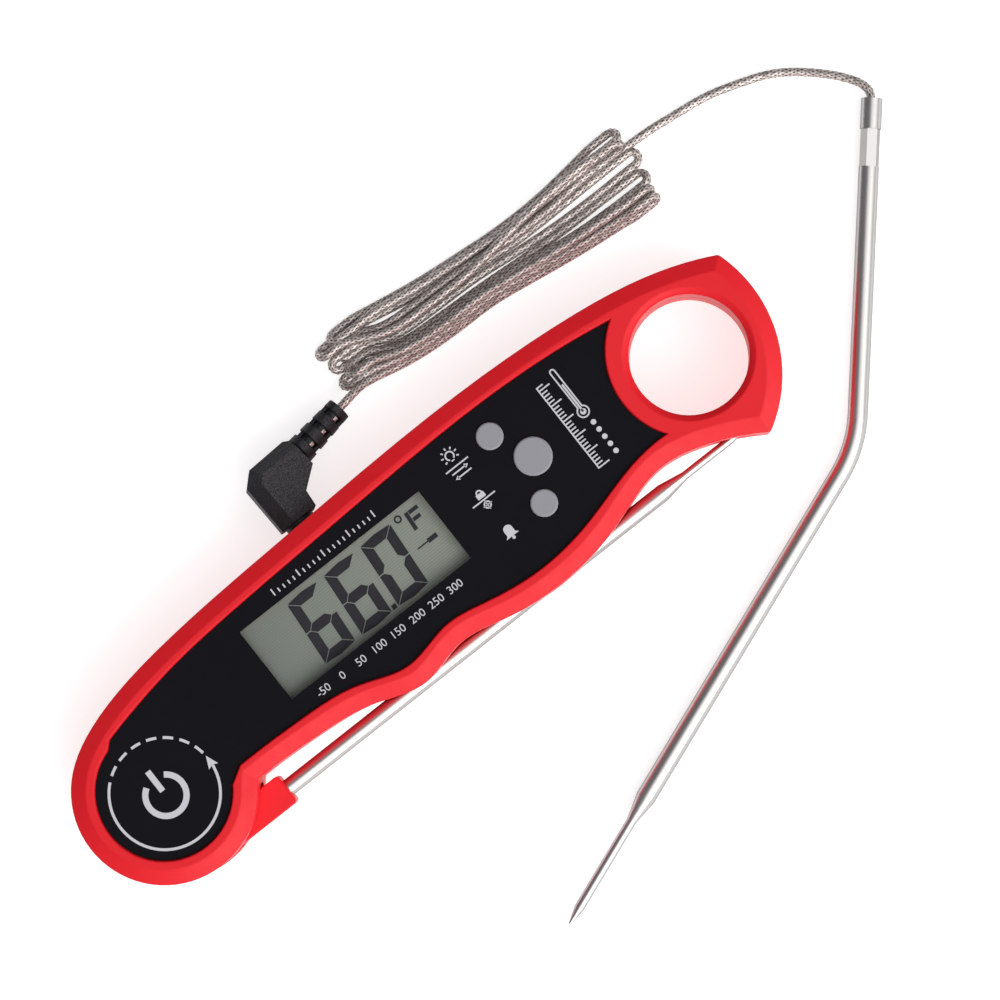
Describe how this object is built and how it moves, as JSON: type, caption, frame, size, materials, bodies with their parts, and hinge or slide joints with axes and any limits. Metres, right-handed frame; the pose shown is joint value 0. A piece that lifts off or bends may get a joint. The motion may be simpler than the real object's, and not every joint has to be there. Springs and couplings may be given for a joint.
{
  "type": "folding probe meat thermometer",
  "caption": "Hand-held digital meat thermometer with a fold-out steel probe, display, buttons, finger ring and a second bent probe on a plug-in braided cord.",
  "frame": {"origin": "on the folding probe's pivot axis, in the flat back face", "axes": "+X along the body from the pivot to the finger ring, +Z out of the display, +Y towards the jack side"},
  "size_m": [0.2109, 0.1203, 0.019],
  "materials": {
    "shell": "satin moulded red",
    "face": "satin black",
    "window": "clear",
    "display": "grey-green liquid crystal",
    "white_plastic": "moulded white",
    "rubber_black": "matte",
    "button": "satin grey",
    "board": "solder mask",
    "component_black": "matte",
    "reed_glass": "clear",
    "contact": "nickel-plated",
    "cell": "stamped steel",
    "magnet": "nickel-plated",
    "screw": "zinc-plated",
    "bush": "turned",
    "probe_steel": "polished stainless",
    "sensor": "resin",
    "plug_black": "fine spark texture",
    "plug_collar": "satin",
    "cord": "braided stainless wire sleeve"
  },
  "bodies": {
    "thermometer": {"front_shell": "shell", "back_shell": "shell", "face_panel": "face", "display_window": "window", "display_glass": "display", "display_backlight": "white_plastic", "display_frame": "white_plastic", "shell_gasket": "rubber_black", "zebra_strip": "rubber_black", "main_board": "board", "controller_chip": "component_black", "buzzer": "component_black", "light_switch": "component_black", "hold_switch": "component_black", "alarm_switch": "component_black", "jack_socket": "component_black", "reed_switch": "reed_glass", "battery_leaf_minus": "contact", "battery_leaf_plus": "contact", "jack_lug": "contact", "battery_cell": "cell", "back_magnet_1": "magnet", "back_magnet_2": "magnet", "pivot_screw": "screw", "pivot_washer": "screw", "shell_screw_1": "screw", "shell_screw_2": "screw", "shell_screw_3": "screw", "shell_screw_4": "screw", "shell_screw_5": "screw", "shell_screw_6": "screw", "shell_screw_7": "screw", "shell_screw_8": "screw", "board_screw_1": "screw", "board_screw_2": "screw", "board_screw_3": "screw"},
    "folding_probe": {"probe_hub": "shell", "hub_bush": "bush", "hub_magnet": "magnet", "folding_probe_tube": "probe_steel", "folding_probe_sensor": "sensor"},
    "light": {"light_button": "button"},
    "hold": {"hold_button": "button"},
    "alarm": {"alarm_button": "button"},
    "door": {"battery_door": "shell", "battery_door_seal": "rubber_black"},
    "plugged_probe": {"plug_housing": "plug_black", "plug_collar": "plug_collar", "plug_strain_relief": "plug_black", "plug_sleeve": "contact", "plug_insulator": "plug_black", "plug_tip": "contact", "cord_lead": "cord", "cord_hank": "cord", "cord_run": "cord", "crimp_ferrule": "probe_steel", "wired_probe_tube": "probe_steel", "wired_probe_sensor": "sensor"}
  },
  "joints": [
    {"name": "probe_unfold", "type": "hinge", "parent": "thermometer", "child": "folding_probe", "pos_m": [0, 0, 0.0095], "axis": [0, 0, -1], "range_deg": [0, 180]},
    {"name": "light_press", "type": "slide", "parent": "thermometer", "child": "light", "axis": [0, 0, -1], "range_m": [0, 0.0005], "stiffness_N_per_m": 1200, "springref_m": -0.0003},
    {"name": "hold_press", "type": "slide", "parent": "thermometer", "child": "hold", "axis": [0, 0, -1], "range_m": [0, 0.0005], "stiffness_N_per_m": 1200, "springref_m": -0.0003},
    {"name": "alarm_press", "type": "slide", "parent": "thermometer", "child": "alarm", "axis": [0, 0, -1], "range_m": [0, 0.0005], "stiffness_N_per_m": 1200, "springref_m": -0.0003},
    {"name": "battery_door_turn", "type": "hinge", "parent": "thermometer", "child": "door", "pos_m": [0.098, 0.0064, 0.002], "axis": [0, 0, -1], "range_deg": [0, 60]},
    {"name": "plug_pull", "type": "slide", "parent": "thermometer", "child": "plugged_probe", "axis": [0, 1, 0], "range_m": [0, 0.011]}
  ]
}
